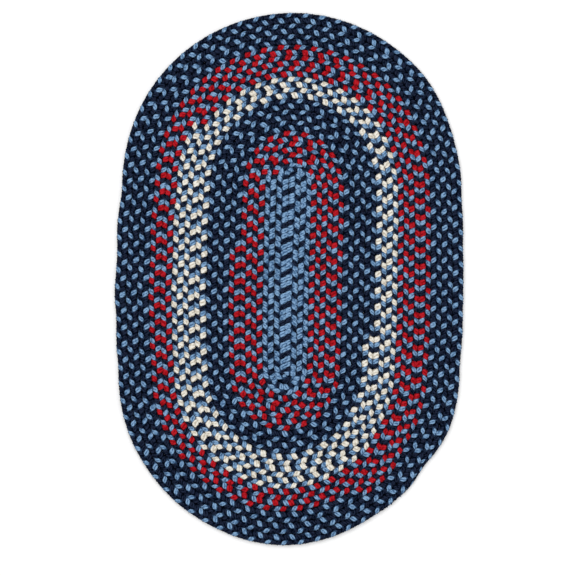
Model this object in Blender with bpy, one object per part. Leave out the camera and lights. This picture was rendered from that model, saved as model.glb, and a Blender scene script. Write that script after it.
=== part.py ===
"""Braided rug: one flat oval body, with the rows of its wound braid as ribs on the top face.

Metres, +Z up. The rug lies on z = 0 with its long axis along Y, and the origin is at the middle of
its underside. The braid starts in the middle, runs down the right of a short straight seam and up
its left, and goes on round, clockwise as seen from above, until it tapers off at the lower right.
"""

import math
from collections import namedtuple

import bmesh
import bpy

# Driving dimensions
THICKNESS = 0.011        # floor to the crown of a row
GROOVE_DEPTH = 0.0028    # from a row's crown down to the seam beside it
SEAM_LENGTH = 0.322      # the straight seam in the middle, which the first two rows lie along
LAST_TURN = 15           # the turn on which the braid ends, counted from 0
START_WIDTH = 0.35       # the first row's rib is lower where it is under this share of a row wide

# The quarters of a turn, in the order in which the braid runs through them, and the steps of each
TOP, RIGHT, BOTTOM, LEFT = range(4)
QUARTERS = 4
STEPS = {TOP: 24, RIGHT: 8, BOTTOM: 24, LEFT: 8}

# The last row thins out between these two places, both steps of the lower half circle
THIN_FROM = BOTTOM + 2 / STEPS[BOTTOM]
BRAID_END = BOTTOM + 7 / STEPS[BOTTOM]

# The rows aren't laced quite evenly, which gives the rug its slightly wavy outline. A place is
# counted in quarters of a turn from the left end of the upper half circle.
Width = namedtuple("Width", "place row_width")
ROW_WIDTHS = (
    Width(0.00, 0.0193),
    Width(0.25, 0.0195),
    Width(0.50, 0.0195),
    Width(0.75, 0.0193),
    Width(0.92, 0.0188),
    Width(1.00, 0.0189),
    Width(1.25, 0.0192),
    Width(1.50, 0.01935),
    Width(1.75, 0.01935),
    Width(2.00, 0.0191),
    Width(2.17, 0.0192),
    Width(2.25, 0.0200),
    Width(2.33, 0.0199),
    Width(2.50, 0.0202),
    Width(2.67, 0.0199),
    Width(2.83, 0.01975),
    Width(3.00, 0.0195),
    Width(3.13, 0.0197),
    Width(3.25, 0.0197),
    Width(3.40, 0.01995),
    Width(3.63, 0.01975),
    Width(3.75, 0.0198),
    Width(4.00, 0.0193),
)

# A row's rib from its inner seam to its outer one: share of the way across, and share of the
# height from groove to crown
Rib = namedtuple("Rib", "across rise")
RIB = (Rib(0.0, 0.0), Rib(0.2, 0.85), Rib(0.5, 1.0), Rib(0.8, 0.85), Rib(1.0, 0.0))

# The rug's edge, from the outermost rib down and under: inset in row widths, and height as a share
# of the thickness
Edge = namedtuple("Edge", "inset height")
EDGE = (Edge(0.0, 0.45), Edge(0.06, 0.17), Edge(0.2, 0.0))

YARN_COLOUR = (0.02, 0.03, 0.06, 1.0)
YARN_ROUGHNESS = 0.9

MICROMETRES = 1e6        # corners that agree to one micrometre are one vertex


def eased(share):
    """0 to 1, level at both ends."""
    return (1.0 - math.cos(math.pi * share)) / 2.0


def row_width(place):
    """The width of the rows at a place round the rug, eased between those of ROW_WIDTHS."""
    for before, after in zip(ROW_WIDTHS, ROW_WIDTHS[1:]):
        if place <= after.place:
            break
    share = (place - before.place) / (after.place - before.place)
    return before.row_width + (after.row_width - before.row_width) * eased(share)


def spine(place):
    """The point of the middle seam that a place's rows are measured from, and the way outward."""
    quarter = min(int(place), LEFT)
    share = place - quarter
    if quarter == RIGHT:
        return (0.0, SEAM_LENGTH * (0.5 - share)), (1.0, 0.0)
    if quarter == LEFT:
        return (0.0, SEAM_LENGTH * (share - 0.5)), (-1.0, 0.0)
    end = 1.0 if quarter == TOP else -1.0
    angle = math.pi * share
    return (0.0, end * SEAM_LENGTH / 2), (-end * math.cos(angle), end * math.sin(angle))


def row_limits(turn, place):
    """How many row widths the braid's inner and outer seams lie from the spine."""
    outer = turn + (eased(place) if place < RIGHT else 1.0)
    inner = max(outer - 1.0, 0.0)
    if turn == LAST_TURN and place > THIN_FROM:
        thinned = eased(min((place - THIN_FROM) / (BRAID_END - THIN_FROM), 1.0))
        outer = inner + (outer - inner) * (1.0 - thinned)
    return inner, outer


def point(place, rows, height):
    """The point that many row widths out from the spine."""
    (x, y), (out_x, out_y) = spine(place)
    reach = rows * row_width(place)
    return x + out_x * reach, y + out_y * reach, height


def rib_points(turn, place):
    """The points across the top of one row."""
    inner, outer = row_limits(turn, place)
    crown = GROOVE_DEPTH * min((outer - inner) / START_WIDTH, 1.0)
    groove = THICKNESS - GROOVE_DEPTH
    return [
        point(place, inner + (outer - inner) * rib.across, groove + crown * rib.rise)
        for rib in RIB
    ]


def edge_points(turn, place):
    """The points down the rug's edge outside that turn, the last one on the floor."""
    outer = row_limits(turn, place)[1]
    return [point(place, outer - edge.inset, edge.height * THICKNESS) for edge in EDGE]


def places_of(turn):
    """The places of one turn at which the braid's cross-section is set."""
    places = [q + n / STEPS[q] for q in range(QUARTERS) for n in range(STEPS[q])]
    places.append(float(QUARTERS))
    return [p for p in places if turn < LAST_TURN or p <= BRAID_END]


class Skin:
    """A mesh of faces that are joined wherever their corners are the same."""

    def __init__(self):
        self.mesh = bmesh.new()
        self.corners = {}

    def corner(self, at):
        """The vertex at a point, made once."""
        key = tuple(round(value * MICROMETRES) for value in at)
        if key not in self.corners:
            self.corners[key] = self.mesh.verts.new(at)
        return self.corners[key]

    def face(self, points):
        """A face with these corners, left out where they have run together into a line."""
        verts = list(dict.fromkeys(self.corner(at) for at in points))
        if len(verts) > 2:
            self.mesh.faces.new(verts)

    def strip(self, before, after):
        """The faces between two cross-sections of the braid."""
        for n in range(len(before) - 1):
            self.face((before[n], after[n], after[n + 1], before[n + 1]))


def rug_mesh():
    """The rug's closed surface: the wound ribs, the edge and the flat underside."""
    skin = Skin()
    underside = []
    for turn in range(LAST_TURN + 1):
        places = places_of(turn)
        for before, after in zip(places, places[1:]):
            skin.strip(rib_points(turn, before), rib_points(turn, after))
            past_the_end = turn == LAST_TURN - 1 and before >= BRAID_END
            if turn == LAST_TURN or past_the_end:
                shoulders = [rib_points(turn, place)[-1:] for place in (before, after)]
                edges = [edge_points(turn, place) for place in (before, after)]
                skin.strip(shoulders[0] + edges[0], shoulders[1] + edges[1])
                underside.append(edges[0][-1])
    skin.face(underside)
    return skin.mesh


def centre_on_origin(mesh):
    """Moves the mesh sideways so that the middle of its outline is over the origin."""
    for axis in (0, 1):
        values = [vert.co[axis] for vert in mesh.verts]
        middle = (min(values) + max(values)) / 2
        for vert in mesh.verts:
            vert.co[axis] -= middle


def yarn_material():
    """The cloth's material: dark navy, which most of the rug is."""
    material = bpy.data.materials.new("navy_yarn")
    material.use_nodes = True
    shader = material.node_tree.nodes["Principled BSDF"]
    shader.inputs["Base Color"].default_value = YARN_COLOUR
    shader.inputs["Roughness"].default_value = YARN_ROUGHNESS
    shader.inputs["Metallic"].default_value = 0.0
    return material


def build_rug():
    """Adds the rug to the scene."""
    mesh = rug_mesh()
    centre_on_origin(mesh)
    data = bpy.data.meshes.new("braided_rug")
    mesh.to_mesh(data)
    mesh.free()
    data.materials.append(yarn_material())
    data.shade_smooth()
    data.set_sharp_from_angle(angle=math.radians(60))
    rug = bpy.data.objects.new("braided_rug", data)
    bpy.context.scene.collection.objects.link(rug)


for old in list(bpy.data.objects):
    bpy.data.objects.remove(old, do_unlink=True)
build_rug()
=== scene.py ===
"""Dresses the braided rug: one long three-strand braid, laced round and round into a flat oval.

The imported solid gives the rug's place and size. Here the braid itself is made, one strand after the
other, as flat folded strips that pass over and under each other and round the rug from its middle
to the tapered end at the lower right.
"""

import logging
import math
from dataclasses import dataclass, field
from enum import Enum

import bpy
import numpy as np
from numpy.typing import NDArray
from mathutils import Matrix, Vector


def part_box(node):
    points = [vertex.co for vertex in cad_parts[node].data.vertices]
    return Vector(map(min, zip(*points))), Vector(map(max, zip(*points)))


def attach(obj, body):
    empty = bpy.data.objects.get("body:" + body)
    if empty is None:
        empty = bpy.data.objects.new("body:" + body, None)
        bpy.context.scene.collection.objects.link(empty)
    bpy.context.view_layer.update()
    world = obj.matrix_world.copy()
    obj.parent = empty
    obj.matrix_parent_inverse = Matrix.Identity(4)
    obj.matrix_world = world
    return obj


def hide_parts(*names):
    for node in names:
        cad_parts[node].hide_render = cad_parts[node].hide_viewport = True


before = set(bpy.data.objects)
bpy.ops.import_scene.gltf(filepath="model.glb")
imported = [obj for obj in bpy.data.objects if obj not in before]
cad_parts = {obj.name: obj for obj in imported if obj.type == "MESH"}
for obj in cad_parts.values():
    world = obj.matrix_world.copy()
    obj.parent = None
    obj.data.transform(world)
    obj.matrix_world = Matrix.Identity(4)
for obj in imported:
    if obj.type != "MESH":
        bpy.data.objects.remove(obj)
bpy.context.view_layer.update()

Numbers = NDArray[np.float64]
Colour = tuple[float, float, float]
Point = tuple[float, float, float]

NODE = "braided_rug"
UV_NAME = "strip"
LOG = logging.getLogger(NODE)
BODY = "root"


class Quarter(Enum):
    """The quarters of a turn, in the order in which the braid runs through them."""

    TOP = 0
    RIGHT = 1
    BOTTOM = 2
    LEFT = 3


class Strand(Enum):
    """The three strands, with how many repeats each one's crossings lie after the accent's."""

    ACCENT = 0.0
    LIGHT_BLUE = 1 / 3
    NAVY = 2 / 3


@dataclass(frozen=True)
class Spot:
    """A place along the braid: the turn, and quarters of a turn from the left of the top."""

    turn: int
    place: float

    @property
    def total(self) -> float:
        """Quarters of a turn from the start of the braid."""
        return len(Quarter) * self.turn + self.place


LAST_TURN = 15
ARC_STEP = 1 / 24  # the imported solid's curved ends are laid out in this share of a quarter
END_OF_BRAID = Spot(LAST_TURN, Quarter.BOTTOM.value + 7 * ARC_STEP)


@dataclass(frozen=True)
class RowWidth:
    """How wide the rows are at one place round the rug, in metres."""

    place: float
    width: float


# Where the rows are wider, the outline lies further out, so these are the points of the outline.
# They were measured along rays in the photo and rounded, and the solid has the same ones.
ROW_WIDTHS = (
    RowWidth(0.00, 0.0193),
    RowWidth(0.25, 0.0195),
    RowWidth(0.50, 0.0195),
    RowWidth(0.75, 0.0193),
    RowWidth(0.92, 0.0188),
    RowWidth(1.00, 0.0189),
    RowWidth(1.25, 0.0192),
    RowWidth(1.50, 0.01935),
    RowWidth(1.75, 0.01935),
    RowWidth(2.00, 0.0191),
    RowWidth(2.17, 0.0192),
    RowWidth(2.25, 0.0200),
    RowWidth(2.33, 0.0199),
    RowWidth(2.50, 0.0202),
    RowWidth(2.67, 0.0199),
    RowWidth(2.83, 0.01975),
    RowWidth(3.00, 0.0195),
    RowWidth(3.13, 0.0197),
    RowWidth(3.25, 0.0197),
    RowWidth(3.40, 0.01995),
    RowWidth(3.63, 0.01975),
    RowWidth(3.75, 0.0198),
    RowWidth(4.00, 0.0193),
)


@dataclass(frozen=True)
class Bulge:
    """A stretch round the rug where the rows lie a little outward, or inward if below 0.

    The place is its middle and the reach its half length, in quarters of a turn. Its heights at
    the three BULGE_TURNS are in rows.
    """

    place: float
    reach: float
    inner: float
    middle: float
    outer: float


BULGE_TURNS = (1, 8, LAST_TURN)

BULGES = (
    Bulge(place=0.52, reach=0.50, inner=0.50, middle=0.35, outer=0.05),
    Bulge(place=1.05, reach=0.40, inner=0.10, middle=0.15, outer=0.05),
    Bulge(place=2.22, reach=0.20, inner=0.00, middle=-0.05, outer=-0.20),
    Bulge(place=2.50, reach=0.35, inner=0.10, middle=0.20, outer=0.10),
    Bulge(place=2.92, reach=0.35, inner=-0.10, middle=-0.15, outer=-0.10),
)


@dataclass(frozen=True)
class CourseMark:
    """Where the middle of the braid lies near its start, and its width there, in metres.

    The total is in quarters of a turn from the start of the braid.
    """

    total: float
    x: float
    y: float
    width: float


# Both of these were read on enlarged views of the photo and turned into metres.
BRAID_START = (
    CourseMark(0.50, 0.0057, 0.1875, 0.0212),
    CourseMark(0.75, 0.0057, 0.1740, 0.0216),
    CourseMark(1.00, 0.0057, 0.1615, 0.0218),
)

FIRST_ARC = (
    CourseMark(4.00, -0.0134, 0.1619, 0.0208),
    CourseMark(4.11, -0.0134, 0.1715, 0.0206),
    CourseMark(4.21, -0.0123, 0.1806, 0.0200),
    CourseMark(4.33, -0.0078, 0.1887, 0.0190),
    CourseMark(4.43, -0.0004, 0.1933, 0.0176),
    CourseMark(4.54, 0.0097, 0.1941, 0.0172),
    CourseMark(4.65, 0.0185, 0.1900, 0.0178),
    CourseMark(4.77, 0.0241, 0.1817, 0.0185),
    CourseMark(4.88, 0.0260, 0.1720, 0.0189),
    CourseMark(5.00, 0.0258, 0.1613, 0.0189),
)


def eased(share: Numbers) -> Numbers:
    """Goes from 0 to 1, level at both ends."""
    return (1.0 - np.cos(np.pi * share)) / 2.0


def through(places: Numbers, values: Numbers, at: Numbers) -> Numbers:
    """Runs a smooth curve through known values.

    Args:
        places: Where the values are known, rising.
        values: The known values.
        at: Where the curve is read, within those places.

    Returns:
        The curve's values.
    """
    slopes = np.gradient(values, places)
    before = np.clip(np.searchsorted(places, at, side="right") - 1, 0, len(places) - 2)
    span = places[before + 1] - places[before]
    share = (at - places[before]) / span
    left = 1.0 - share
    from_low = values[before] * (1.0 + 2.0 * share) + slopes[before] * span * share
    from_high = values[before + 1] * (1.0 + 2.0 * left) - slopes[before + 1] * span * left
    return from_low * left**2 + from_high * share**2


@dataclass(frozen=True)
class CentreLine:
    """The middle of the braid, from its start to its end.

    Each field holds one value for each of many points along it. Total is in quarters of a turn,
    out_x and out_y point outward, bend is in radians a metre, and the rest are in metres.
    """

    total: Numbers
    distance: Numbers
    x: Numbers
    y: Numbers
    out_x: Numbers
    out_y: Numbers
    width: Numbers
    bend: Numbers

    def at(self, values: Numbers, distance: Numbers) -> Numbers:
        """One of the fields, read at these distances along the braid."""
        return np.interp(distance, self.distance, values)

    def distance_of(self, spot: Spot) -> float:
        """The distance along the braid of a spot."""
        return float(np.interp(spot.total, self.total, self.distance))


@dataclass(frozen=True)
class Lacing:
    """The flat spiral that the braid is laced in.

    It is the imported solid's, but for BULGES and for the rows that BRAID_START and FIRST_ARC move.
    """

    seam_length: float = 0.322
    thin_from: float = Quarter.BOTTOM.value + 2 * ARC_STEP
    first_place: float = 0.50
    last_place: float = Quarter.BOTTOM.value + 6.6 * ARC_STEP
    points_per_quarter: int = 240
    middle_overlap: float = 0.12
    course_fade: float = 0.4
    least_bend: float = 1e-3

    def middle(self) -> tuple[float, float]:
        """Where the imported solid's middle lies, measured from the middle of the middle seam.

        Returns:
            Its x and y in metres: how far the last turn reaches to the right and to the top,
            less the same for the solid, whose middle is at the origin.
        """
        share = np.arange(0.0, 1.0 + ARC_STEP / 2, ARC_STEP)
        right = np.max(self.row_width(Quarter.RIGHT.value + share)) * (LAST_TURN + 1)
        arc = self.row_width(share) * (LAST_TURN + eased(share)) * np.sin(np.pi * share)
        top = self.seam_length / 2 + np.max(arc)
        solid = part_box(NODE)[1]
        return float(right - solid[0]), float(top - solid[1])

    def row_width(self, place: Numbers) -> Numbers:
        """The width of the rows at places round the rug.

        Args:
            place: Quarters of a turn from the left of the top, each from 0 to 4.

        Returns:
            The row widths in metres, eased between those of ROW_WIDTHS.
        """
        places = np.array([mark.place for mark in ROW_WIDTHS])
        widths = np.array([mark.width for mark in ROW_WIDTHS])
        before = np.clip(np.searchsorted(places, place, side="right") - 1, 0, len(places) - 2)
        share = (place - places[before]) / (places[before + 1] - places[before])
        return widths[before] + (widths[before + 1] - widths[before]) * eased(share)

    def spine(self, place: Numbers) -> tuple[Numbers, Numbers, Numbers]:
        """The middle seam's points that places are measured from, and the way outward.

        Args:
            place: Quarters of a turn from the left of the top, each from 0 to 4.

        Returns:
            The points' y, and the x and y of the directions outward. Every point's x is 0.
        """
        quarter = np.minimum(place.astype(int), Quarter.LEFT.value)
        share = place - quarter
        angle = np.pi * share
        half = self.seam_length / 2
        cases = [quarter == each.value for each in Quarter]
        y = np.select(
            cases,
            [half, self.seam_length * (0.5 - share), -half, self.seam_length * (share - 0.5)],
        )
        out_x = np.select(cases, [-np.cos(angle), 1.0, np.cos(angle), -1.0])
        out_y = np.select(cases, [np.sin(angle), 0.0, -np.sin(angle), 0.0])
        return y, out_x, out_y

    def drift(self, total: Numbers, out: float) -> Numbers:
        """How far outward of the even spiral the rows lie, in row widths.

        Args:
            total: Quarters of a turn from the start of the braid.
            out: How many rows outward of the braid's middle the drift is read.

        Returns:
            What BULGES add up to.
        """
        turn = np.floor(total / len(Quarter))
        place = total - len(Quarter) * turn
        found = np.zeros_like(total)
        for bulge in BULGES:
            away = np.minimum(np.abs(place - bulge.place) / bulge.reach, 1.0)
            heights = (bulge.inner, bulge.middle, bulge.outer)
            found += np.interp(turn + out, BULGE_TURNS, heights) * (1.0 - eased(away))
        return found

    def seams(self, total: Numbers) -> tuple[Numbers, Numbers]:
        """How many row widths the braid's inner and outer seams lie from the spine.

        Args:
            total: Quarters of a turn from the start of the braid.

        Returns:
            The inner and the outer seam, in row widths.
        """
        turn = np.floor(total / len(Quarter))
        place = total - len(Quarter) * turn
        outer = turn + np.where(place < Quarter.RIGHT.value, eased(place), 1.0)
        inner = np.maximum(outer - 1.0, 0.0)
        settled = np.clip(total - self.first_place, 0.0, 1.0)
        inner = inner - self.middle_overlap * (1.0 - np.minimum(inner, 1.0))
        inner = inner + settled * self.drift(total, -0.5)
        outer = outer + settled * self.drift(total, 0.5)
        past = (place - self.thin_from) / (END_OF_BRAID.place - self.thin_from)
        thinned = np.where(turn == LAST_TURN, eased(np.clip(past, 0.0, 1.0)), 0.0)
        return inner, inner + (outer - inner) * (1.0 - thinned)

    def chart(self, total: Numbers, fields: tuple[Numbers, ...]) -> None:
        """Moves the braid near its start to where BRAID_START and FIRST_ARC have it.

        Args:
            total: Quarters of a turn from the start of the braid.
            fields: The middle's x and y and the braid's width there, which are changed.
        """
        for marks in (BRAID_START, FIRST_ARC):
            places = np.array([mark.total for mark in marks])
            columns = np.array([[mark.x, mark.y, mark.width] for mark in marks]).T
            held = np.clip(total, places[0], places[-1])
            share = 1.0 - eased(np.minimum(np.abs(total - held) / self.course_fade, 1.0))
            for values, column in zip(fields, columns):
                moved = through(places, column, held) - np.interp(held, total, values)
                values += share * moved

    def centre_line(self) -> CentreLine:
        """Follows the middle of the braid from its start to its end."""
        first = Spot(0, self.first_place).total
        last = Spot(LAST_TURN, self.last_place).total
        count = int((last - first) * self.points_per_quarter)
        total = np.linspace(first, last, count)
        turn = np.floor(total / len(Quarter))
        place = total - len(Quarter) * turn
        inner, outer = self.seams(total)
        row = self.row_width(place)
        spine_y, out_x, out_y = self.spine(place)
        reach = row * (inner + outer) / 2
        middle_x, middle_y = self.middle()
        x = out_x * reach - middle_x
        y = spine_y + out_y * reach - middle_y
        width = row * (outer - inner)
        self.chart(total, (x, y, width))
        step = np.hypot(np.diff(x), np.diff(y))
        distance = np.concatenate([[0.0], np.cumsum(step)])
        along_x = np.gradient(x, distance)
        along_y = np.gradient(y, distance)
        length = np.hypot(along_x, along_y)
        along_x = along_x / length
        along_y = along_y / length
        heading = np.unwrap(np.arctan2(along_y, along_x))
        bend = np.maximum(-np.gradient(heading, distance), self.least_bend)
        return CentreLine(total, distance, x, y, -along_y, along_x, width, bend)


SLIVER = 1e-6  # two rings that are this share of a step apart are one


@dataclass(frozen=True)
class OutlinePoint:
    """A point of a strip's cross-section, as shares of its half width and half thickness."""

    across: float
    up: float


FOLDED_OUTLINE = (
    OutlinePoint(1.00, 0.00),
    OutlinePoint(0.84, 0.62),
    OutlinePoint(0.44, 1.00),
    OutlinePoint(0.00, 0.70),
    OutlinePoint(-0.44, 1.00),
    OutlinePoint(-0.84, 0.62),
    OutlinePoint(-1.00, 0.00),
    OutlinePoint(-0.84, -0.62),
    OutlinePoint(-0.44, -1.00),
    OutlinePoint(0.00, -0.70),
    OutlinePoint(0.44, -1.00),
    OutlinePoint(0.84, -0.62),
)

FULL_OUTLINE = (
    OutlinePoint(1.00, 0.00),
    OutlinePoint(0.80, 0.66),
    OutlinePoint(0.30, 0.98),
    OutlinePoint(-0.30, 0.98),
    OutlinePoint(-0.80, 0.66),
    OutlinePoint(-1.00, 0.00),
    OutlinePoint(-0.80, -0.66),
    OutlinePoint(-0.30, -0.98),
    OutlinePoint(0.30, -0.98),
    OutlinePoint(0.80, -0.66),
)


@dataclass(frozen=True)
class Strip:
    """The folded strip of knit that a strand is made of, in metres.

    A repeat has that many steps from ring to ring, and a piece may end at the cut angle, where the
    strand is hidden under the others.
    """

    half_width: float
    half_thickness: float
    outline: tuple[OutlinePoint, ...]
    steps: int
    cut_angle: float = 135.0

    @property
    def step_angle(self) -> float:
        """The angle between two rings, where one repeat of the braid is 360 degrees."""
        return 360.0 / self.steps


@dataclass(frozen=True)
class Plait:
    """How the strands pass over and under each other in one repeat of the braid.

    A strand swings from side to side once in a repeat and rises twice, its strip rolling over with
    it. The rest are small shifts that give the lobes their lean, their spacing and their width.
    """

    repeat: float = 0.0285
    nominal_width: float = 0.0195
    overlap: float = 0.0018
    rise: float = 0.00275
    rise_hold: float = 1.2
    roll: float = 135.0
    outset: float = 0.0009
    middle_shift: float = 0.0007
    lobe_angle: float = 47.0
    top_stretch: float = 0.05
    slant: float = 0.0013
    splay: float = 0.0006
    pinch: float = 0.10
    under_spread: float = 0.40
    under_reach: float = 0.0012
    edge_reach: float = 0.0030

    @property
    def swing(self) -> float:
        """How far a strand's middle goes out from the braid's middle, in metres."""
        return (self.nominal_width + self.overlap) / 2 - self.edge_reach

    def swing_at(self, angle: Numbers) -> tuple[Numbers, Numbers]:
        """How far out a strand is, and how fast it goes outward.

        Args:
            angle: The strand's place in the repeat, in radians.

        Returns:
            The offset in metres, and its slope in metres a radian.
        """
        return self.swing * np.sin(angle), self.swing * np.cos(angle)

    def rise_at(self, angle: Numbers) -> tuple[Numbers, Numbers]:
        """How high a strand is over the braid's middle, and how fast it climbs.

        Args:
            angle: The strand's place in the repeat, in radians.

        Returns:
            The height in metres, and its slope in metres a radian.
        """
        wave = np.tanh(self.rise_hold * np.sin(2 * angle))
        scale = self.rise / math.tanh(self.rise_hold)
        slope = scale * (1.0 - wave**2) * self.rise_hold * 2 * np.cos(2 * angle)
        return scale * wave, slope

    def rings(self, angle: Numbers, distance: Numbers, strip: Strip, fullness: Numbers) -> Numbers:
        """Lays the strip's cross-section at each angle of the repeat.

        Args:
            angle: Each ring's place in the repeat, in radians.
            distance: Each ring's distance along the braid, in metres.
            strip: The strip that the strand is made of.
            fullness: How full the strip is at each ring, near 1.

        Returns:
            For each ring and outline point, the distance along the braid, the offset outward and
            the height over the braid's middle.
        """
        swing, swing_slope = self.swing_at(angle)
        rise, rise_slope = self.rise_at(angle)
        a_radian = self.repeat / (2 * math.pi)
        travel = distance - a_radian * self.top_stretch * np.cos(2 * angle)
        travel = travel - self.slant * np.sin(4 * angle)
        travel = travel + self.splay * np.sin(angle - math.radians(self.lobe_angle))
        travel_slope = a_radian * (1.0 + 2 * self.top_stretch * np.sin(2 * angle))
        travel_slope = travel_slope - 4 * self.slant * np.cos(4 * angle)
        travel_slope = travel_slope + self.splay * np.cos(angle - math.radians(self.lobe_angle))
        along = np.stack([travel_slope, swing_slope, rise_slope], axis=1)
        along = along / np.linalg.norm(along, axis=1, keepdims=True)
        facing = np.radians(90.0 - self.roll * np.cos(angle))
        face = np.stack([np.zeros_like(angle), np.sin(facing), np.cos(facing)], axis=1)
        face = face - along * np.sum(face * along, axis=1, keepdims=True)
        face = face / np.linalg.norm(face, axis=1, keepdims=True)
        side = np.cross(along, face)
        across = np.array([point.across for point in strip.outline]) * strip.half_width
        up = np.array([point.up for point in strip.outline]) * strip.half_thickness
        under = np.maximum(-np.sin(2 * angle), 0.0)
        tucked = swing + self.under_reach * under**2 * np.sign(np.sin(angle))
        centre = np.stack([travel, tucked, rise], axis=1)
        spread = 1.0 - self.pinch * np.sin(angle) ** 4 + self.under_spread * under
        sideways = side[:, None, :] * (across[None, :, None] * (fullness * spread)[:, None, None])
        upward = face[:, None, :] * (up[None, :, None] * fullness[:, None, None])
        return centre[:, None, :] + sideways + upward


@dataclass(frozen=True)
class Ramp:
    """Where a smooth step from 0 to 1 starts and where it ends."""

    low: float
    high: float


# Read from the waves of StripWaves
# Where along a lobe the fold's painted shade shows
ON_TOP = Ramp(0.6, 0.95)
# The band between a strip's edge and its fold that gets painted highlight
RIM_HIGHLIGHT_FROM_EDGE = Ramp(0.3, -0.4)
RIM_HIGHLIGHT_FROM_FOLD = Ramp(-0.95, -0.6)
# Painted shade on the back of the strip, which faces into the braid
FACING_IN = Ramp(-0.03, -0.18)

# Read from the noises
BLOTCHED = Ramp(0.40, 0.60)
# Raised fibres are lightened: partly the knit's own mottle and partly painted highlight on the raised
# fibres
RAISED = Ramp(0.38, 0.62)
# Painted shade in the hollows between the fibres, taken towards the fold colour
HOLLOW_SHADE = Ramp(0.50, 0.36)
# Noise that breaks up the fold's painted shade
FOLD_SHADE_BREAKUP = Ramp(0.65, 0.45)


@dataclass
class StripWaves:
    """Where a point lies on its strip, as waves that the yarn's colours are read from.

    Repeats runs along the strand and around is the share of the way round the strip. Turn is 1 at
    the strip's edges and -1 along its folds, over is 1 on top of a crossing and -1 under one, and
    middle is 1 at the middle of the braid and -1 at its edges.
    """

    repeats: bpy.types.NodeSocket
    around: bpy.types.NodeSocket
    turn: bpy.types.NodeSocket
    over: bpy.types.NodeSocket
    middle: bpy.types.NodeSocket

    @classmethod
    def read(cls, wiring: "Wiring") -> "StripWaves":
        """Reads the waves from the strip coordinates.

        Args:
            wiring: The material's wiring.

        Returns:
            The waves' sockets.
        """
        strip = wiring.tree.nodes.new("ShaderNodeUVMap")
        strip.uv_map = UV_NAME
        split = wiring.tree.nodes.new("ShaderNodeSeparateXYZ")
        wiring.put(strip.outputs["UV"], split.inputs["Vector"])
        repeats = split.outputs["X"]
        around = split.outputs["Y"]
        half_turns = wiring.math("MULTIPLY", repeats, 4 * math.pi)
        turn = wiring.math("COSINE", wiring.math("MULTIPLY", around, 4 * math.pi))
        over = wiring.math("SINE", half_turns)
        return cls(repeats, around, turn, over, wiring.math("COSINE", half_turns))


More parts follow.
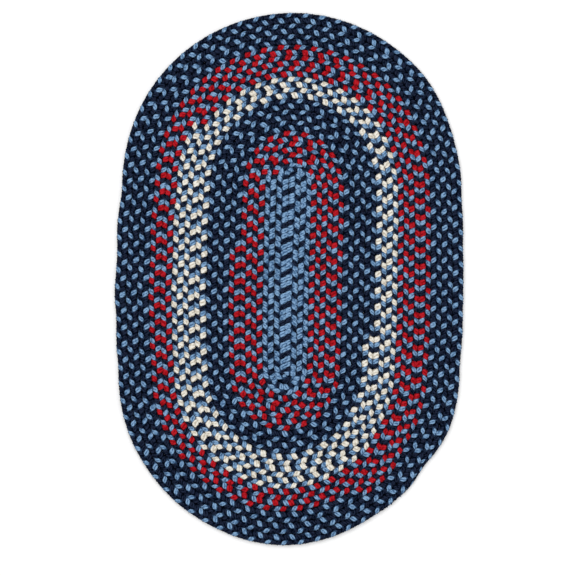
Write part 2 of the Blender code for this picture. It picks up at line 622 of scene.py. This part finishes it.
@dataclass(frozen=True)
class YarnFinish:
    """Knitted cotton yarn of one colour, with painted shade along the fold that runs along each strip.

    Each weight is how far a thing takes the yarn from its body to its light colour, which the yarn's own
    tone reaches in part and painted highlight on the rims and raised fibres in part, and each share how
    far painted shade takes it to its fold or shade colour. Sizes are in metres.
    """

    name: str
    body: Colour
    # light is reached partly by the yarn's own tone and partly by painted highlight; fold and shade are
    # painted shade colours
    light: Colour
    fold_shade: Colour
    painted_shade: Colour
    fleck: Colour
    roughness: float = 0.82
    roughness_spread: float = 0.12
    sheen: float = 0.08
    sheen_roughness: float = 0.5
    gloss: float = 0.15
    fold_width: float = 0.08
    rib_pitch: float = 0.0013
    rib_weight: float = 0.5
    fibre_size: float = 0.0028
    fibre_detail: float = 3.0
    fleck_size: float = 0.0060
    wear_size: float = 1 / 9
    bump_depth: float = 0.00035
    bump_strength: float = 0.6
    # where the painted shade in the creases between the strands starts, and how it closes round the
    # lobe's ends
    crease: float = 0.84
    crease_width: float = 0.16
    end_crease: float = 1.60
    bluntness: float = 3.0
    taper: float = 0.30
    dye_weight: float = 0.30
    raised_weight: float = 0.55
    wear_weight: float = 0.10
    # how far painted highlight lightens the strip's rims beside the fold
    painted_highlight_weight: float = 0.45
    # how far painted shade takes the yarn to its fold and shade colours
    painted_shade_share: float = 0.95
    # how strongly painted shade darkens the fold, varying from lobe to lobe
    slit: float = 0.40
    slit_least: float = 0.25
    slit_spread: float = 1.5
    lobe_lead: float = 0.125
    repeat_length: float = 0.045
    girth: float = 0.021

    def shading(self, wiring: "Wiring", strip: StripWaves) -> bpy.types.NodeSocket:
        """Painted shade in the creases between the strands and on the strip's inward back.

        Args:
            wiring: The material's wiring.
            strip: The strip's waves.

        Returns:
            The painted shade, 0 on the open top of a lobe and 1 in a crease or on the back.
        """
        sides = wiring.math("MULTIPLY_ADD", strip.turn, 0.5, 0.5)
        taper = wiring.math("MULTIPLY_ADD", strip.middle, -self.taper, 1.0)
        ends = wiring.math("POWER", wiring.math("ABSOLUTE", strip.middle), self.bluntness)
        depth = wiring.math("MULTIPLY_ADD", ends, self.end_crease, wiring.math("MULTIPLY", sides, taper))
        creased = wiring.ramp(depth, Ramp(self.crease, self.crease + self.crease_width))
        facing = wiring.math("SINE", wiring.math("MULTIPLY", strip.around, 2 * math.pi))
        upward = wiring.math("COSINE", wiring.math("MULTIPLY", strip.repeats, 2 * math.pi))
        outward = wiring.math("MULTIPLY", wiring.math("MULTIPLY", facing, upward), strip.over)
        return wiring.math("MAXIMUM", creased, wiring.ramp(outward, FACING_IN))

    def fold_shading(self, wiring: "Wiring", strip: StripWaves) -> bpy.types.NodeSocket:
        """Where painted shade darkens the fold along the top of a lobe.

        Args:
            wiring: The material's wiring.
            strip: The strip's waves.

        Returns:
            The fold's painted shade, from 0 to 1, stronger or weaker from lobe to lobe.
        """
        along = Ramp(-math.cos(4 * math.pi * self.fold_width), -1.0)
        top = wiring.ramp(wiring.math("ABSOLUTE", strip.over), ON_TOP)
        fold_shade = wiring.math("MULTIPLY", wiring.ramp(strip.turn, along), top)
        chance = wiring.chance(wiring.math("ADD", self.lobe(wiring, strip), 0.5))
        least = self.slit_least * self.slit
        lobe_fold_shade = wiring.math("MULTIPLY_ADD", chance, self.slit_spread * self.slit, least)
        return wiring.math("MULTIPLY", fold_shade, lobe_fold_shade)

    def lobe(self, wiring: "Wiring", strip: StripWaves) -> bpy.types.NodeSocket:
        """A whole number for each lobe of the strand."""
        return wiring.math("FLOOR", wiring.math("MULTIPLY_ADD", strip.repeats, 2.0, self.lobe_lead))

    def colour(
        self,
        wiring: "Wiring",
        strip: StripWaves,
        fibres: bpy.types.NodeSocket,
        place: bpy.types.NodeSocket,
    ) -> bpy.types.NodeSocket:
        """The yarn's colour, with painted highlight on its rims and painted shade in its fold, hollows
        and creases.

        Args:
            wiring: The material's wiring.
            strip: The strip's waves.
            fibres: The fibres' noise.
            place: The point on the rug.

        Returns:
            The colour's socket.
        """
        # Painted highlight: a band along the strip, between its edge and its fold, is lightened
        highlight_from_edge = wiring.ramp(strip.turn, RIM_HIGHLIGHT_FROM_EDGE)
        rim_highlight = wiring.math("MULTIPLY", highlight_from_edge, wiring.ramp(strip.turn, RIM_HIGHLIGHT_FROM_FOLD))
        dye = wiring.chance(self.lobe(wiring, strip))
        wear = wiring.noise(place, 1 / self.wear_size, 2.0)
        tone = wiring.math("MULTIPLY", dye, self.dye_weight)
        # Dye and wear are the yarn's own tone; the raised fibres are partly painted highlight, and the
        # rim is painted highlight
        lighter = (
            (wiring.ramp(fibres, RAISED), self.raised_weight),
            (wear, self.wear_weight),
            (rim_highlight, self.painted_highlight_weight),
        )
        for value, weight in lighter:
            tone = wiring.math("ADD", tone, wiring.math("MULTIPLY", value, weight))
        blotches = wiring.ramp(wiring.noise(place, 1 / self.fleck_size, 1.0), BLOTCHED)
        colour = wiring.blend(tone, wiring.blend(blotches, self.body, self.fleck), self.light)
        # Painted shade: the fibres' hollows are darkened towards the fold colour
        hollow_shade = wiring.math("MULTIPLY", wiring.ramp(fibres, HOLLOW_SHADE), self.painted_shade_share)
        colour = wiring.blend(hollow_shade, colour, self.fold_shade)
        # Painted shade in the creases between the strands, at the lobes' ends and on the strip's back
        painted_shade = wiring.math("MULTIPLY", self.shading(wiring, strip), self.painted_shade_share)
        colour = wiring.blend(painted_shade, colour, self.painted_shade)
        # Painted shade along the fold, broken up by the fibres' noise
        fold_shade_breakup = wiring.ramp(fibres, FOLD_SHADE_BREAKUP)
        folded = wiring.math("MULTIPLY", self.fold_shading(wiring, strip), fold_shade_breakup)
        return wiring.blend(folded, colour, self.fold_shade)

    def material(self) -> bpy.types.Material:
        """Makes the yarn's material.

        Returns:
            A material whose colour, roughness and bump follow the strip and its fold.
        """
        made = bpy.data.materials.new(self.name)
        made.use_nodes = True
        tree = made.node_tree
        shader = tree.nodes["Principled BSDF"]
        shader.inputs["Sheen Weight"].default_value = self.sheen
        shader.inputs["Sheen Roughness"].default_value = self.sheen_roughness
        shader.inputs["Specular IOR Level"].default_value = self.gloss
        wiring = Wiring(tree)
        strip = StripWaves.read(wiring)
        yarn = tree.nodes.new("ShaderNodeCombineXYZ")
        wiring.put(wiring.math("MULTIPLY", strip.repeats, self.repeat_length), yarn.inputs["X"])
        wiring.put(wiring.math("MULTIPLY", strip.around, self.girth), yarn.inputs["Y"])
        fibres = wiring.noise(yarn.outputs["Vector"], 1 / self.fibre_size, self.fibre_detail)
        ribs = wiring.ribs(yarn.outputs["Vector"], self.rib_pitch)
        place = tree.nodes.new("ShaderNodeTexCoord").outputs["Object"]
        wiring.put(self.colour(wiring, strip, fibres, place), shader.inputs["Base Color"])
        rough = wiring.math("MULTIPLY_ADD", fibres, self.roughness_spread, self.roughness)
        wiring.put(rough, shader.inputs["Roughness"])
        bump = tree.nodes.new("ShaderNodeBump")
        bump.inputs["Strength"].default_value = self.bump_strength
        bump.inputs["Distance"].default_value = self.bump_depth
        height = wiring.math("MULTIPLY_ADD", ribs, self.rib_weight, fibres)
        wiring.put(height, bump.inputs["Height"])
        wiring.put(bump.outputs["Normal"], shader.inputs["Normal"])
        return made


WAVE_NODE_RATE = 20  # the Wave node's radians to a unit of its input, at scale 1
RIB_DISTORTION = 1.5


@dataclass
class Wiring:
    """Adds linked nodes to a material, one small step at a time."""

    tree: bpy.types.ShaderNodeTree

    def put(
        self, value: "bpy.types.NodeSocket | float | Colour", socket: bpy.types.NodeSocket
    ) -> None:
        """Feeds a socket from another one, or sets it.

        Args:
            value: A socket to link from, a number or a colour.
            socket: The socket that takes it.
        """
        if isinstance(value, bpy.types.NodeSocket):
            self.tree.links.new(value, socket)
        elif isinstance(value, tuple):
            socket.default_value = (*value, 1.0)
        else:
            socket.default_value = value

    def math(
        self,
        operation: str,
        first: "bpy.types.NodeSocket | float",
        second: "bpy.types.NodeSocket | float" = 0.0,
        third: "bpy.types.NodeSocket | float" = 0.0,
    ) -> bpy.types.NodeSocket:
        """One step of arithmetic.

        Args:
            operation: The Math node's operation.
            first: Its first value.
            second: Its second value, where it takes one.
            third: Its third value, where it takes one.

        Returns:
            The result's socket.
        """
        node = self.tree.nodes.new("ShaderNodeMath")
        node.operation = operation
        for value, socket in zip((first, second, third), node.inputs):
            self.put(value, socket)
        return node.outputs["Value"]

    def ramp(self, value: bpy.types.NodeSocket, step: Ramp) -> bpy.types.NodeSocket:
        """Goes smoothly from 0 to 1.

        Args:
            value: The value that is read.
            step: Where the result leaves 0 and where it reaches 1, either of which may be lower.

        Returns:
            The result's socket.
        """
        node = self.tree.nodes.new("ShaderNodeMapRange")
        node.interpolation_type = "SMOOTHSTEP"
        ends = (step.low, step.high, 0.0, 1.0)
        if step.low > step.high:
            ends = (step.high, step.low, 1.0, 0.0)
        names = ("From Min", "From Max", "To Min", "To Max")
        for name, end in zip(names, ends):
            node.inputs[name].default_value = end
        self.put(value, node.inputs["Value"])
        return node.outputs["Result"]

    def noise(self, place: bpy.types.NodeSocket, scale: float, detail: float) -> bpy.types.NodeSocket:
        """Soft noise.

        Args:
            place: The point that is read.
            scale: How many features there are to a metre.
            detail: How many finer layers it has.

        Returns:
            The noise, from 0 to 1.
        """
        node = self.tree.nodes.new("ShaderNodeTexNoise")
        node.inputs["Scale"].default_value = scale
        node.inputs["Detail"].default_value = detail
        self.put(place, node.inputs["Vector"])
        return node.outputs["Fac"]

    def ribs(self, place: bpy.types.NodeSocket, pitch: float) -> bpy.types.NodeSocket:
        """The knit's fine ribs, side by side along the strip.

        Args:
            place: The point that is read, in metres of yarn.
            pitch: The distance from rib to rib, in metres.

        Returns:
            The ribs' height, from 0 to 1.
        """
        node = self.tree.nodes.new("ShaderNodeTexWave")
        node.inputs["Scale"].default_value = 2 * math.pi / (WAVE_NODE_RATE * pitch)
        node.inputs["Distortion"].default_value = RIB_DISTORTION
        node.inputs["Detail"].default_value = 1.0
        self.put(place, node.inputs["Vector"])
        return node.outputs["Fac"]

    def chance(self, number: bpy.types.NodeSocket) -> bpy.types.NodeSocket:
        """A random value for each whole number, the same on each run."""
        node = self.tree.nodes.new("ShaderNodeTexWhiteNoise")
        node.noise_dimensions = "1D"
        self.put(number, node.inputs["W"])
        return node.outputs["Value"]

    def blend(
        self,
        share: "bpy.types.NodeSocket | float",
        first: "bpy.types.NodeSocket | Colour",
        second: "bpy.types.NodeSocket | Colour",
    ) -> bpy.types.NodeSocket:
        """Goes from one colour to another.

        Args:
            share: 0 for the first colour and 1 for the second.
            first: The first colour.
            second: The second colour.

        Returns:
            The blended colour's socket.
        """
        node = self.tree.nodes.new("ShaderNodeMix")
        node.data_type = "RGBA"
        self.put(share, node.inputs["Factor"])
        self.put(first, node.inputs["A"])
        self.put(second, node.inputs["B"])
        return node.outputs["Result"]


# Each finish's fold and shade colours are painted shade, and its light colour is partly painted
# highlight.
NAVY = YarnFinish(
    name="navy_yarn",
    body=(0.0001, 0.0024, 0.0100),
    light=(0.0155, 0.0240, 0.0515),
    fold_shade=(0.0004, 0.0024, 0.0080),
    painted_shade=(0.0003, 0.0020, 0.0075),
    fleck=(0.0090, 0.0056, 0.0105),
    sheen=0.0,
    gloss=0.01,
    fleck_size=0.0038,
    crease=0.62,
    crease_width=0.50,
)
LIGHT_BLUE = YarnFinish(
    name="light_blue_yarn",
    body=(0.046, 0.126, 0.248),
    light=(0.228, 0.386, 0.590),
    fold_shade=(0.038, 0.098, 0.205),
    painted_shade=(0.009, 0.030, 0.078),
    fleck=(0.048, 0.132, 0.276),
)
RED = YarnFinish(
    name="red_yarn",
    body=(0.225, 0.001, 0.002),
    light=(0.475, 0.012, 0.021),
    fold_shade=(0.230, 0.001, 0.004),
    painted_shade=(0.010, 0.001, 0.004),
    fleck=(0.225, 0.001, 0.002),
    sheen=0.02,
    gloss=0.04,
    end_crease=1.55,
    bluntness=2.0,
    crease=0.92,
    crease_width=0.30,
    slit=0.30,
)
CREAM = YarnFinish(
    name="cream_yarn",
    body=(0.590, 0.560, 0.460),
    light=(0.820, 0.795, 0.725),
    fold_shade=(0.480, 0.420, 0.330),
    painted_shade=(0.050, 0.055, 0.070),
    fleck=(0.590, 0.540, 0.430),
    crease=0.90,
    crease_width=0.22,
)


@dataclass(frozen=True)
class Band:
    """A stretch of a strand in one colour, and how full its strip is there."""

    name: str
    finish: YarnFinish
    ends_at: Spot
    fullness: float = 1.0


ACCENT_BANDS = (
    Band("accent_light_blue", LIGHT_BLUE, Spot(2, 0.21), 0.94),
    Band("accent_red_inner", RED, Spot(4, 3.685), 1.06),
    Band("accent_navy_inner", NAVY, Spot(7, 1.78), 0.90),
    Band("accent_cream", CREAM, Spot(10, 0.184), 1.06),
    Band("accent_red_outer", RED, Spot(12, 2.32), 1.06),
    Band("accent_navy_outer", NAVY, END_OF_BRAID, 0.90),
)

LIGHT_BLUE_BANDS = (
    Band("light_blue_inner", LIGHT_BLUE, Spot(11, 0.5)),
    Band("light_blue_outer", LIGHT_BLUE, END_OF_BRAID),
)

NAVY_BANDS = (Band("navy_strand", NAVY, END_OF_BRAID),)


@dataclass
class Braid:
    """The long braid, from which each strand's pieces are made."""

    lacing: Lacing = field(default_factory=Lacing)
    plait: Plait = field(default_factory=Plait)
    middle_height: float = 0.0055
    least_height: float = 0.55
    outermost_from: Spot = Spot(14, 2.3)
    edge_from: float = 0.0085
    edge_give: float = 0.6
    inside_limit: float = 0.98
    unevenness: float = 0.10
    stray_along: float = 0.0006
    stray_across: float = 0.0004
    seed: int = 7

    def __post_init__(self) -> None:
        """Lays out the braid's course and counts its repeats, which are evenly long."""
        self.line = self.lacing.centre_line()
        self.repeats = float(self.line.distance[-1]) / self.plait.repeat

    def angle_at(self, count: float, strand: Strand) -> float:
        """A strand's place in the repeat, in degrees, at a count of repeats.

        Args:
            count: The repeats laid so far, whole where an accent lobe lies.
            strand: The strand.

        Returns:
            The angle in degrees, which grows by 360 with each repeat.
        """
        return 360.0 * (count - strand.value) + self.plait.lobe_angle

    def angles_between(self, strand: Strand, strip: Strip, start: float, end: float) -> Numbers:
        """The angles of the rings from one count of repeats to another.

        Args:
            strand: The strand.
            strip: The strip that it is made of.
            start: The count of repeats at which the stretch starts.
            end: The count at which it ends.

        Returns:
            The angles in degrees, rising.
        """
        first = self.angle_at(start, strand)
        last = self.angle_at(end, strand)
        step = strip.step_angle
        low = math.ceil((first - strip.cut_angle) / step + SLIVER)
        high = math.floor((last - strip.cut_angle) / step - SLIVER)
        inside = strip.cut_angle + step * np.arange(low, high + 1)
        return np.concatenate([[first], inside, [last]])

    def cut_near(self, spot: Spot, strand: Strand, strip: Strip) -> float:
        """The count of repeats nearest a spot at which the strand passes under the others."""
        count = self.line.distance_of(spot) / self.plait.repeat
        angle = self.angle_at(count, strand)
        cut = strip.cut_angle + 180.0 * round((angle - strip.cut_angle) / 180.0)
        return count + (cut - angle) / 360.0

    def placed(self, rings: Numbers) -> Numbers:
        """Carries points of the straight braid over to the rug.

        Args:
            rings: Points as distance along the braid, offset outward and height over its middle.

        Returns:
            The same points as x, y and z in metres.
        """
        line = self.line
        plait = self.plait
        offset = rings[..., 1]
        share = np.clip(offset / (plait.nominal_width / 2), -1.0, 1.0)
        offset = offset + plait.middle_shift * (1.0 - share**2) + plait.outset
        distance = rings[..., 0]
        beyond = np.maximum(offset - self.edge_from, 0.0)
        outermost = distance > line.distance_of(self.outermost_from)
        offset = offset - np.where(outermost, beyond * (1.0 - self.edge_give), 0.0)
        fit = line.at(line.width, distance) / plait.nominal_width
        offset = offset * fit
        offset = np.maximum(offset, -self.inside_limit / line.at(line.bend, distance))
        height = self.least_height + (1.0 - self.least_height) * np.minimum(fit, 1.0)
        x = line.at(line.x, distance) + line.at(line.out_x, distance) * offset
        y = line.at(line.y, distance) + line.at(line.out_y, distance) * offset
        z = self.middle_height * height + rings[..., 2] * height
        return np.stack([x, y, np.maximum(z, 0.0)], axis=-1)

    def stretch(
        self, strand: Strand, strip: Strip, start: float, end: float, fullness: float
    ) -> tuple[Numbers, Numbers]:
        """One strand from one count of repeats to another.

        Args:
            strand: The strand.
            strip: The strip that it is made of.
            start: The count of repeats at which it starts.
            end: The count at which it ends.
            fullness: How full the strip is on the whole, near 1.

        Returns:
            The rings' points, and how many repeats along the strand each ring is.
        """
        degrees = self.angles_between(strand, strip, start, end)
        count = start + (degrees - degrees[0]) / 360.0
        distance = count * self.plait.repeat
        lobes = strand.value + np.arange(math.floor(2 * start) - 3, math.ceil(2 * end) + 4) / 2
        chance = np.random.default_rng(self.seed + round(10 * strand.value))
        uneven = [np.interp(count, lobes, chance.uniform(-1, 1, len(lobes))) for _ in range(3)]
        full = fullness * (1.0 + self.unevenness * uneven[0])
        rings = self.plait.rings(np.radians(degrees), distance, strip, full)
        rings[..., 0] += (self.stray_along * uneven[1])[:, None]
        rings[..., 1] += (self.stray_across * uneven[2])[:, None]
        return self.placed(rings), degrees / 360.0


@dataclass
class StrandMaker:
    """Makes the pieces of one strand."""

    braid: Braid
    strand: Strand
    strip: Strip
    bands: tuple[Band, ...]

    def make(self, finishes: dict[str, bpy.types.Material]) -> list[bpy.types.Object]:
        """Makes and dresses each of the strand's bands.

        Args:
            finishes: The yarn materials by slot name.

        Returns:
            The pieces, from the middle of the rug outward.
        """
        pieces = []
        start = 0.0
        for band in self.bands:
            end = self.braid.repeats
            if band is not self.bands[-1]:
                end = self.braid.cut_near(band.ends_at, self.strand, self.strip)
            points, along = self.braid.stretch(self.strand, self.strip, start, end, band.fullness)
            piece = self.mesh_object(band.name, points, along)
            piece.data.materials.append(finishes[band.finish.name])
            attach(piece, BODY)
            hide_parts(NODE)
            LOG.info("%s: %d faces, %.1f repeats", band.name, len(piece.data.polygons), end - start)
            pieces.append(piece)
            start = end
        return pieces

    def mesh_object(self, name: str, points: Numbers, along: Numbers) -> bpy.types.Object:
        """Skins the rings into one closed tube.

        Args:
            name: The piece's name.
            points: The rings' points.
            along: How many repeats along the strand each ring is.

        Returns:
            The piece, smooth and with its strip coordinates.
        """
        rings, sides, _ = points.shape
        ring = np.arange(rings - 1)[:, None]
        side = np.arange(sides)[None, :]
        after = (side + 1) % sides
        corners = [
            ring * sides + side,
            ring * sides + after,
            (ring + 1) * sides + after,
            (ring + 1) * sides + side,
        ]
        faces = np.stack(np.broadcast_arrays(*corners), axis=-1).reshape(-1, 4).tolist()
        faces.append(list(range(sides))[::-1])
        faces.append(list(range((rings - 1) * sides, rings * sides)))
        mesh = bpy.data.meshes.new(name)
        mesh.from_pydata(points.reshape(-1, 3).tolist(), [], faces)
        shares = np.arange(sides + 1) / sides
        low = np.broadcast_to(along[:-1, None], (rings - 1, sides))
        high = np.broadcast_to(along[1:, None], (rings - 1, sides))
        left = np.broadcast_to(shares[None, :-1], (rings - 1, sides))
        right = np.broadcast_to(shares[None, 1:], (rings - 1, sides))
        wall = np.stack([low, left, low, right, high, right, high, left], axis=-1)
        start_cap = np.stack([np.full(sides, along[0]), shares[:-1][::-1]], axis=-1)
        end_cap = np.stack([np.full(sides, along[-1]), shares[:-1]], axis=-1)
        strip = mesh.uv_layers.new(name=UV_NAME)
        flat = np.concatenate([wall.ravel(), start_cap.ravel(), end_cap.ravel()])
        strip.data.foreach_set("uv", flat)
        mesh.polygons.foreach_set("use_smooth", [True] * len(mesh.polygons))
        mesh.update()
        piece = bpy.data.objects.new(name, mesh)
        bpy.context.scene.collection.objects.link(piece)
        return piece


@dataclass
class BraidedRug:
    """The whole rug: three strands plaited together along the lacing's spiral."""

    braid: Braid = field(default_factory=Braid)
    folded: Strip = Strip(0.0047, 0.00285, FOLDED_OUTLINE, 12)
    padded: Strip = Strip(0.0055, 0.00300, FOLDED_OUTLINE, 12)
    full: Strip = Strip(0.0040, 0.00265, FULL_OUTLINE, 10)
    flat_width: float = 0.609
    flat_length: float = 0.927
    flat_area: float = 0.487

    def make(self) -> None:
        finishes = {each.name: each.material() for each in (NAVY, LIGHT_BLUE, RED, CREAM)}
        navy = StrandMaker(self.braid, Strand.NAVY, self.full, NAVY_BANDS).make(finishes)
        blue = StrandMaker(self.braid, Strand.LIGHT_BLUE, self.folded, LIGHT_BLUE_BANDS).make(finishes)
        accent = StrandMaker(self.braid, Strand.ACCENT, self.padded, ACCENT_BANDS).make(finishes)


@dataclass(frozen=True)
class Softbox:
    """A square soft light that faces the rug: where it hangs and how wide it is, and its watts."""

    name: str
    at: Point
    side: float
    power: float


SOFTBOXES = (
    Softbox("overhead_softbox", (-0.5, 0.7, 3.2), 3.2, 84.0),
    Softbox("right_fill", (2.2, -1.2, 2.6), 2.4, 18.0),
)


@dataclass
class Studio:
    """A pale floor, soft overhead light and a camera straight above the rug."""

    floor_side: float = 14.0
    floor_drop: float = 0.0003
    floor_white: float = 0.98
    floor_mottle: float = 0.985
    floor_roughness: float = 0.9
    floor_gloss: float = 0.1
    mottle_size: float = 1.25
    sky_strength: float = 0.5
    view_width: float = 1.0065
    view_x: float = -0.0020
    view_y: float = -0.0162
    view_tilt: float = 1.0
    camera_height: float = 4.0
    sensor: float = 36.0
    crown: float = 0.009
    clip_end: float = 100.0

    def make(self) -> None:
        """Sets up the floor, the lights and the camera."""
        self.make_floor()
        for softbox in SOFTBOXES:
            self.make_light(softbox)
        self.make_sky()
        self.make_camera()

    def make_floor(self) -> None:
        """Lays the floor just under the rug."""
        half = self.floor_side / 2
        corners = [(-half, -half, 0.0), (half, -half, 0.0), (half, half, 0.0), (-half, half, 0.0)]
        mesh = bpy.data.meshes.new("floor")
        mesh.from_pydata(corners, [], [(0, 1, 2, 3)])
        floor = bpy.data.objects.new("floor", mesh)
        floor.location.z = -self.floor_drop
        bpy.context.scene.collection.objects.link(floor)
        paint = bpy.data.materials.new("floor_paint")
        paint.use_nodes = True
        shader = paint.node_tree.nodes["Principled BSDF"]
        shader.inputs["Specular IOR Level"].default_value = self.floor_gloss
        wiring = Wiring(paint.node_tree)
        place = paint.node_tree.nodes.new("ShaderNodeTexCoord").outputs["Object"]
        soft = wiring.noise(place, 1 / self.mottle_size, 1.0)
        white = (self.floor_white,) * 3
        grey = (self.floor_white * self.floor_mottle,) * 3
        wiring.put(wiring.blend(soft, white, grey), shader.inputs["Base Color"])
        rough = wiring.math("MULTIPLY_ADD", soft, 0.05, self.floor_roughness)
        wiring.put(rough, shader.inputs["Roughness"])
        mesh.materials.append(paint)
        LOG.info("floor: %.1f m square", self.floor_side)

    def make_light(self, softbox: Softbox) -> None:
        """Hangs one light so that it faces the rug.

        Args:
            softbox: The light.
        """
        lamp = bpy.data.lights.new(softbox.name, "AREA")
        lamp.shape = "SQUARE"
        lamp.size = softbox.side
        lamp.energy = softbox.power
        holder = bpy.data.objects.new(softbox.name, lamp)
        holder.location = softbox.at
        x, y, z = softbox.at
        holder.rotation_euler = (math.atan2(math.hypot(x, y), z), 0.0, math.atan2(y, x) + math.pi / 2)
        bpy.context.scene.collection.objects.link(holder)
        LOG.info("%s: %.0f W", softbox.name, softbox.power)

    def make_sky(self) -> None:
        """Fills the room with even light."""
        sky = bpy.data.worlds.new("studio_air")
        sky.use_nodes = True
        air = sky.node_tree.nodes["Background"]
        air.inputs["Color"].default_value = (1.0, 1.0, 1.0, 1.0)
        air.inputs["Strength"].default_value = self.sky_strength
        bpy.context.scene.world = sky
        bpy.context.scene.view_settings.view_transform = "Standard"

    def make_camera(self) -> None:
        """Sets the camera above the rug, turned so that the rug leans a little to the right."""
        lens = bpy.data.cameras.new("camera")
        lens.sensor_width = self.sensor
        lens.lens = self.sensor * (self.camera_height - self.crown) / self.view_width
        lens.clip_end = self.clip_end
        camera = bpy.data.objects.new("camera", lens)
        camera.location = (self.view_x, self.view_y, self.camera_height)
        camera.rotation_euler = (0.0, 0.0, math.radians(self.view_tilt))
        bpy.context.scene.collection.objects.link(camera)
        bpy.context.scene.camera = camera
        LOG.info("camera: %.1f mm lens", lens.lens)


def main() -> None:
    """Makes the rug and the studio round it."""
    logging.basicConfig(level=logging.INFO, format="%(name)s: %(message)s")
    BraidedRug().make()
    Studio().make()


if __name__ == "__main__":
    main()
